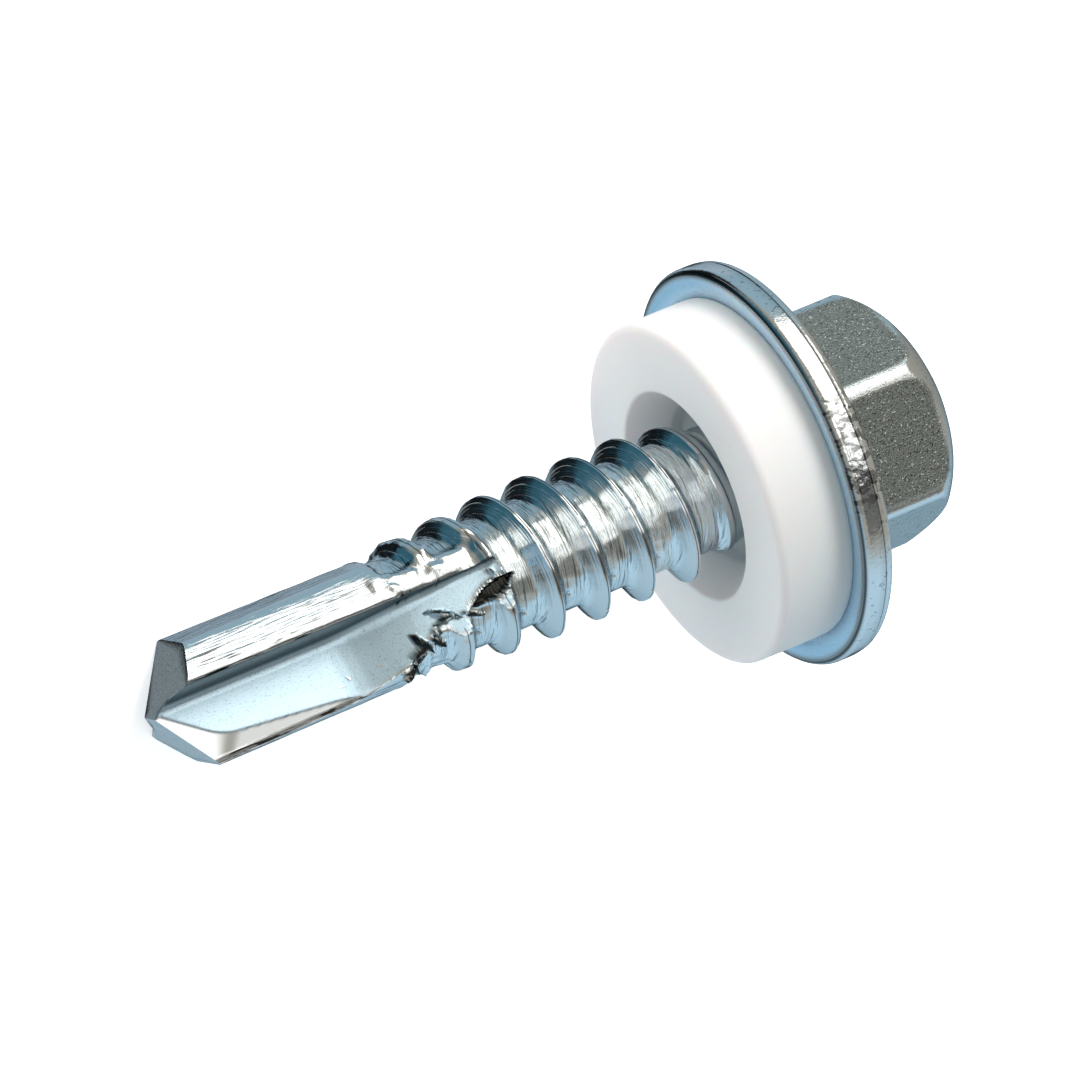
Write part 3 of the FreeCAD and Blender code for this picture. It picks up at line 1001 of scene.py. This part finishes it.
def marks_group():
    """Noise read at place times stretch, sharpened: 0 for clear metal, 1 in the middle of a mark."""
    group = bpy.data.node_groups.new("marks", "ShaderNodeTree")
    for name in ("Place", "Stretch"):
        group.interface.new_socket(name, in_out="INPUT", socket_type="NodeSocketVector")
    for name in ("Low", "High", "Detail"):
        group.interface.new_socket(name, in_out="INPUT", socket_type="NodeSocketFloat")
    for name in ("Mark", "Height"):
        group.interface.new_socket(name, in_out="OUTPUT", socket_type="NodeSocketFloat")
    enter = group.nodes.new("NodeGroupInput")
    leave = group.nodes.new("NodeGroupOutput")
    stretched = node(group, "ShaderNodeVectorMath", operation="MULTIPLY")
    group.links.new(enter.outputs["Place"], stretched.inputs[0])
    group.links.new(enter.outputs["Stretch"], stretched.inputs[1])
    noise = node(group, "ShaderNodeTexNoise")
    noise.inputs["Scale"].default_value = 1.0
    group.links.new(enter.outputs["Detail"], noise.inputs["Detail"])
    group.links.new(stretched.outputs[0], noise.inputs["Vector"])
    mark = ease(group, noise.outputs["Fac"], 0.0, 1.0)
    group.links.new(enter.outputs["Low"], mark.node.inputs["From Min"])
    group.links.new(enter.outputs["High"], mark.node.inputs["From Max"])
    group.links.new(mark, leave.inputs["Mark"])
    group.links.new(noise.outputs["Fac"], leave.inputs["Height"])
    return group


MARKS = marks_group()


def marks(tree, place, stretch, low, high):
    """Places the marks group, as its (mark, height) outputs."""
    made = node(tree, "ShaderNodeGroup", node_tree=MARKS)
    settings = {"Place": place, "Stretch": stretch, "Low": low, "High": high, "Detail": 3.0}
    for name, source in settings.items():
        feed(tree, made.inputs[name], source)
    return made.outputs["Mark"], made.outputs["Height"]


print("group", MARKS.name, "sockets", len(MARKS.interface.items_tree))

# %% [markdown]
# ## Zinc plating: where each thing is
#
# Before a mark can be drawn, the finish has to know which part of the screw it is on. The height
# along the axis tells head, thread and drill body apart, the distance from the axis tells crest
# from root, and the "shade" attribute tells the floor, the edges with painted shade and the rough
# faces. Each mask fades over a short way, as no plated surface has a hard border.

# %% Zinc plating, places
zinc, tree, zinc_shader = material("zinc_plating")
place = node(tree, "ShaderNodeAttribute", attribute_name="along").outputs["Vector"]
shades = node(tree, "ShaderNodeAttribute", attribute_name="shade").outputs["Vector"]
px, py, pz = split(tree, place)
# The second number of the shade attribute is painted shade.
is_floor, painted_shade, is_rough = split(tree, shades)
squares = maths(tree, "ADD", times(tree, px, px), times(tree, py, py))
off_axis = maths(tree, "SQRT", squares)
safe = most(tree, off_axis, 0.1)
turn_x = maths(tree, "DIVIDE", px, safe)
turn_y = maths(tree, "DIVIDE", py, safe)

in_head = ease(tree, pz, 0.0, -0.2)
in_hex = ease(tree, pz, -1.7, -2.0)
in_drill = ease(tree, pz, 14.4, 15.2)
in_root = ease(tree, off_axis, 2.35, 2.12)
on_shank = opposite(tree, most(tree, in_head, is_floor, in_drill))
on_outside = times(tree, in_drill, ease(tree, off_axis, 2.1, 2.19))
on_land = times(tree, on_outside, opposite(tree, most(tree, is_floor, is_rough)))
on_flank = times(tree, opposite(tree, in_root), on_shank)
on_flat = times(tree, in_hex, is_rough)
worn_side = ease(tree, maths(tree, "DIVIDE", times(tree, py, -1.0), safe), 0.93, 0.985)
on_rim = times(tree, worn_side, ease(tree, off_axis, 6.95, 7.1))
print("place nodes", len(tree.nodes))

# %% [markdown]
# ## Zinc plating: the marks
#
# The same noise gives every pattern. Read round the axis and squeezed along it, it gives lines
# that follow the thread. Read at the plain place and squeezed across the axis, it gives scratches
# down the lands. Read by the distance from the axis it gives arcs on the thread's flanks, and
# squeezed evenly it gives grain and specks. Each is then kept to the place where it belongs.

# %% Zinc plating, marks
around = join(tree, turn_x, turn_y, pz)
ringed = join(tree, off_axis, turn_x, turn_y)
rolled, rolled_height = marks(tree, around, (1.7, 1.7, 19.0), 0.575, 0.64)
chatter, chatter_height = marks(tree, around, (26.0, 26.0, 2.5), 0.5, 0.56)
rings, rings_height = marks(tree, ringed, (16.0, 1.1, 1.1), 0.6, 0.66)
drawn, drawn_height = marks(tree, place, (11.0, 11.0, 0.7), 0.55, 0.62)
patch, _ = marks(tree, place, (1.3, 1.3, 0.3), 0.47, 0.6)
grain, grain_height = marks(tree, place, (15.0, 15.0, 15.0), 0.56, 0.68)
glints, _ = marks(tree, place, (12.0, 12.0, 12.0), 0.62, 0.68)
specks, specks_height = marks(tree, place, (5.5, 5.5, 5.5), 0.62, 0.68)

lines = times(tree, rolled, in_root, on_shank)
arcs = times(tree, rings, on_flank)
scratches = times(tree, drawn, patch, on_land)
knocks = times(tree, chatter, on_rim)
sparkle = times(tree, glints, in_hex)
spots = times(tree, specks, maths(tree, "SUBTRACT", in_head, times(tree, on_flat, 0.85)))
coarse = times(tree, grain, is_rough)
fine = times(tree, grain, is_floor)
print("with marks", len(tree.nodes))

# %% [markdown]
# ## Zinc plating: colour and gloss
#
# Clean plating is a pale metal, cooler in the roots and bluest on the flute's floor. Where marks
# lie, and where the shade attribute paints shade on torn metal, crest lines, the heel and the rim,
# the colour is mixed towards black, by a weight for each of them. The hexagon's faces are darkened
# but not its edges, a painted highlight, and glints hold the black back there, painted glints.
# Rough places also get a duller gloss and are a little less metallic, as dust and oxide settle in
# them.

# %% Zinc plating, colour
PLATED = (0.82, 0.86, 0.88, 1.0)
PLATED_FLOOR = (0.64, 0.84, 0.98, 1.0)
PLATED_ROOT = (0.82, 0.89, 0.92, 1.0)
PLATED_HEX = (0.66, 0.72, 0.68, 1.0)
MARK_AND_SHADE_BLACK = (0.035, 0.036, 0.034, 1.0)
GRAZING_TINT = (0.6, 0.65, 0.68, 1.0)

# This sum mixes the real marks with painted shade from the shade attribute and the painted highlight on
# the hexagon's edges.
marks_and_shade = weigh(tree, (lines, 0.6), (scratches, 0.85), (sparkle, -0.7), (spots, 0.4), (fine, 0.25),
               (painted_shade, 0.95), (is_rough, 0.15), (on_flat, 0.55), (on_flank, 0.12),
               (coarse, 0.35), (knocks, 0.6))
dark = most(tree, maths(tree, "MINIMUM", marks_and_shade, 1.0), 0.0)
clean = mix_colour(tree, is_floor, PLATED, PLATED_FLOOR)
clean = mix_colour(tree, times(tree, in_root, on_shank), clean, PLATED_ROOT)
clean = mix_colour(tree, on_flat, clean, PLATED_HEX)
metal = weigh(tree, (1.0, 1.0), (is_rough, -0.15), (arcs, -0.3))
dull = weigh(tree, (in_hex, 0.06), (is_floor, 0.3), (painted_shade, 0.15), (is_rough, 0.2),
             (on_flat, -0.12), (1.0, 0.13))
feed(tree, zinc_shader.inputs["Base Color"], mix_colour(tree, dark, clean, MARK_AND_SHADE_BLACK))
feed(tree, zinc_shader.inputs["Metallic"], metal)
feed(tree, zinc_shader.inputs["Roughness"], dull)
zinc_shader.inputs["Specular Tint"].default_value = GRAZING_TINT
print("with colour", len(tree.nodes))

# %% [markdown]
# ## Zinc plating: relief
#
# The real marks are a few hundredths of a millimetre deep, far finer than the skin's quads. A bump
# node bends the light as such relief would, without a single extra face.

# %% Zinc plating, relief
BUMP_DEPTH = 0.00006

root_weight = maths(tree, "MULTIPLY_ADD", in_root, 0.45, 0.08)
relief = weigh(tree, (times(tree, rolled_height, on_shank), root_weight),
               (times(tree, drawn_height, on_land), 0.4),
               (times(tree, grain_height, in_hex), 0.16),
               (times(tree, chatter_height, on_rim), 0.5),
               (times(tree, rings_height, on_flank), 0.3),
               (times(tree, specks_height, in_head), 0.2),
               (times(tree, grain_height, is_rough), 0.8),
               (times(tree, grain_height, is_floor), 0.1))
bump = node(tree, "ShaderNodeBump")
bump.inputs["Strength"].default_value = 1.0
bump.inputs["Distance"].default_value = BUMP_DEPTH
feed(tree, bump.inputs["Height"], relief)
feed(tree, zinc_shader.inputs["Normal"], bump.outputs[0])
screw.data.materials.append(zinc)
print("zinc nodes", len(tree.nodes))

# %% [markdown]
# ## White plastic
#
# The washer is moulded plastic with a satin skin. Light sinks a little way in, which fills the
# shadow in its mouth, so it has a touch of subsurface scattering and hardly any texture.

# %% White plastic
plastic, _, plastic_shader = material("white_plastic")
for name, value in {"Base Color": (0.76, 0.77, 0.78, 1.0), "Roughness": 0.45,
                    "Subsurface Weight": 0.4, "Subsurface Scale": 0.001}.items():
    plastic_shader.inputs[name].default_value = value
washer.data.materials.append(plastic)
print("plastic", plastic.name, "on", washer.name)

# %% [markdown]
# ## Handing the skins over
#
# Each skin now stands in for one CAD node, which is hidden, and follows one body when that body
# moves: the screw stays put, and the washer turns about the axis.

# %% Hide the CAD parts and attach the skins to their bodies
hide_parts("screw")
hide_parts("sealing_washer")
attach(screw, "screw")
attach(washer, "washer")
print("materials", [m.name for m in bpy.data.materials])

# %% [markdown]
# ## Table
#
# The screw lies on a white sweep. Its paper glows a little, as a lit table does, so that the
# shadow stays as faint as in a catalogue picture. It is hidden from reflections: bright metal
# would show nothing but paper, so in a studio black cards are put up to keep it out.

# %% Floor
SWEEP = 0.6
PAPER_GLOW = 0.65

floor_mesh = bpy.data.meshes.new("floor")
floor_corners = [(-SWEEP, -SWEEP, 0.0), (SWEEP, -SWEEP, 0.0), (SWEEP, SWEEP, 0.0), (-SWEEP, SWEEP, 0.0)]
floor_mesh.from_pydata(floor_corners, [], [(0, 1, 2, 3)])
floor = bpy.data.objects.new("floor", floor_mesh)
bpy.context.scene.collection.objects.link(floor)
paper, _, paper_shader = material("white_sweep")
for name, value in {"Base Color": (0.9, 0.9, 0.9, 1.0), "Roughness": 1.0,
                    "Emission Color": (1.0, 1.0, 1.0, 1.0), "Emission Strength": PAPER_GLOW}.items():
    paper_shader.inputs[name].default_value = value
floor_mesh.materials.append(paper)
floor.visible_glossy = False
floor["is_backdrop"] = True
print("floor is %.1f m wide" % (2.0 * SWEEP))

# %% [markdown]
# ## Studio light
#
# Polished metal has no colour of its own to speak of: it shows the room. So the room is what has
# to be designed. The world here is a soft grey dome with a few round fields on it, each with a
# direction, two angles and a tone: bright soft boxes, a pale ground and black flags. Where
# a field lies is easy to judge by the picture, as it appears in every surface that mirrors it.

# %% The dome and its fields
# Each field: name, direction, angle within which it is full, angle where it ends, tone.
FIELDS = (
    ("dark teal room", (-0.67, 0.32, -0.67), 30.0, 62.0, (0.04, 0.13, 0.18, 1.0)),
    ("pale far ground", (-0.76, -0.62, -0.19), 28.0, 58.0, (0.33, 0.52, 0.67, 1.0)),
    ("pale ground", (0.0, -0.99, -0.15), 50.0, 72.0, (0.50, 0.69, 0.81, 1.0)),
    ("black flag behind", (0.08, 0.21, -0.97), 24.0, 38.0, (0.008, 0.01, 0.012, 1.0)),
    ("pale blue sky", (0.62, 0.58, -0.53), 18.0, 34.0, (0.30, 0.44, 0.52, 1.0)),
    ("pale wall", (0.61, -0.11, -0.79), 18.0, 30.0, (0.46, 0.56, 0.64, 1.0)),
    ("black card behind", (0.57, -0.515, -0.638), 11.0, 22.0, (0.02, 0.025, 0.03, 1.0)),
    ("dark flag beside", (0.16, -0.1, 0.98), 15.0, 25.0, (0.15, 0.148, 0.138, 1.0)),
    ("key box", (0.40, 0.91, 0.18), 14.0, 22.0, (2.5, 2.42, 2.26, 1.0)),
    ("low key box", (0.31, 0.75, 0.59), 13.0, 21.0, (2.3, 2.22, 2.06, 1.0)),
    ("front box", (-0.29, 0.53, 0.8), 10.0, 20.0, (1.5, 1.47, 1.42, 1.0)),
    ("side box", (0.27, 0.33, 0.905), 7.0, 14.0, (1.5, 1.47, 1.42, 1.0)),
)
DOME_TONE = (0.38, 0.36, 0.31, 1.0)

world = bpy.data.worlds.new("studio")
world.use_nodes = True
world_tree = world.node_tree
direction = node(world_tree, "ShaderNodeTexCoord").outputs["Generated"]


def field(under, toward, inner, outer, colour):
    """Mixes colour over what is under, by the angle from toward: all inside inner, none past outer."""
    dot = node(world_tree, "ShaderNodeVectorMath", operation="DOT_PRODUCT")
    feed(world_tree, dot.inputs[0], direction)
    feed(world_tree, dot.inputs[1], Vector(toward).normalized())
    limits = [math.cos(math.radians(angle)) for angle in (outer, inner)]
    return mix_colour(world_tree, ease(world_tree, dot.outputs["Value"], *limits), under, colour)


dome = DOME_TONE
for name, toward, inner, outer, colour in FIELDS:
    dome = field(dome, toward, inner, outer, colour)
background = world_tree.nodes["Background"]
feed(world_tree, background.inputs["Color"], dome)
background.inputs["Strength"].default_value = 1.0
bpy.context.scene.world = world
print("fields", [row[0] for row in FIELDS])

# %% [markdown]
# ## A lamp for the plastic
#
# The dome lights the washer evenly from all sides, which leaves it flat. One round lamp from the
# upper right gives it a light and a shaded side and the screw a faint shadow. It is hidden from
# reflections, because the fields already say all that the metal should mirror.

# %% Lamp
LAMP_TOWARD = (0.3, 0.67, 0.67)
LAMP_AWAY = 0.6

lamp_data = bpy.data.lights.new("upper_right", "AREA")
lamp_data.shape = "DISK"
lamp_data.size = 0.3
lamp_data.energy = 1.8
lamp = bpy.data.objects.new("upper_right", lamp_data)
lamp.location = Vector(LAMP_TOWARD) * LAMP_AWAY
lamp.rotation_euler = Vector(lamp.location).to_track_quat("Z", "Y").to_euler()
lamp.visible_glossy = False
bpy.context.scene.collection.objects.link(lamp)
bpy.context.scene.view_settings.view_transform = "Standard"
print("lamp", lamp_data.energy, "W at", [round(v, 2) for v in lamp.location])

# %% [markdown]
# ## Camera
#
# The picture is taken from above and from the side of the point, through a very long lens, so
# the screw hardly narrows with distance. The camera is rolled, which is why the screw seems to
# fly, although it lies on the table.

# %% Camera
# The rows turn the camera's own axes into the frame's, and its place is in metres.
CAMERA_ROWS = ((0.6966202, 0.4324866, -0.5724296),
               (-0.1049264, 0.8507148, 0.5150483),
               (0.7097258, -0.2987301, 0.6380044))
CAMERA_PLACE = (-0.3722916, 0.3356323, 0.4199657)
LENS = 641.89
SENSOR = 36.0

camera_data = bpy.data.cameras.new("camera")
camera_data.lens = LENS
camera_data.sensor_width = SENSOR
camera_data.clip_end = 10.0
camera = bpy.data.objects.new("camera", camera_data)
bpy.context.scene.collection.objects.link(camera)
camera.matrix_world = Matrix.Translation(Vector(CAMERA_PLACE)) @ Matrix(CAMERA_ROWS).to_4x4()
bpy.context.scene.camera = camera
print("camera", [round(v, 3) for v in camera.location])

# %% [markdown]
# ## Size
#
# A finer skin may add marks, but it mustn't make the part larger. Both pairs of opposite corners,
# the frame's at the start and the dressed part's now, are written down so they can be compared.

# %% Print the size
for title, corners in (("CAD", cad_bounds), ("scene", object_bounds())):
    print(title, "bounds in mm", [[round(value / MM, 2) for value in corner] for corner in corners])
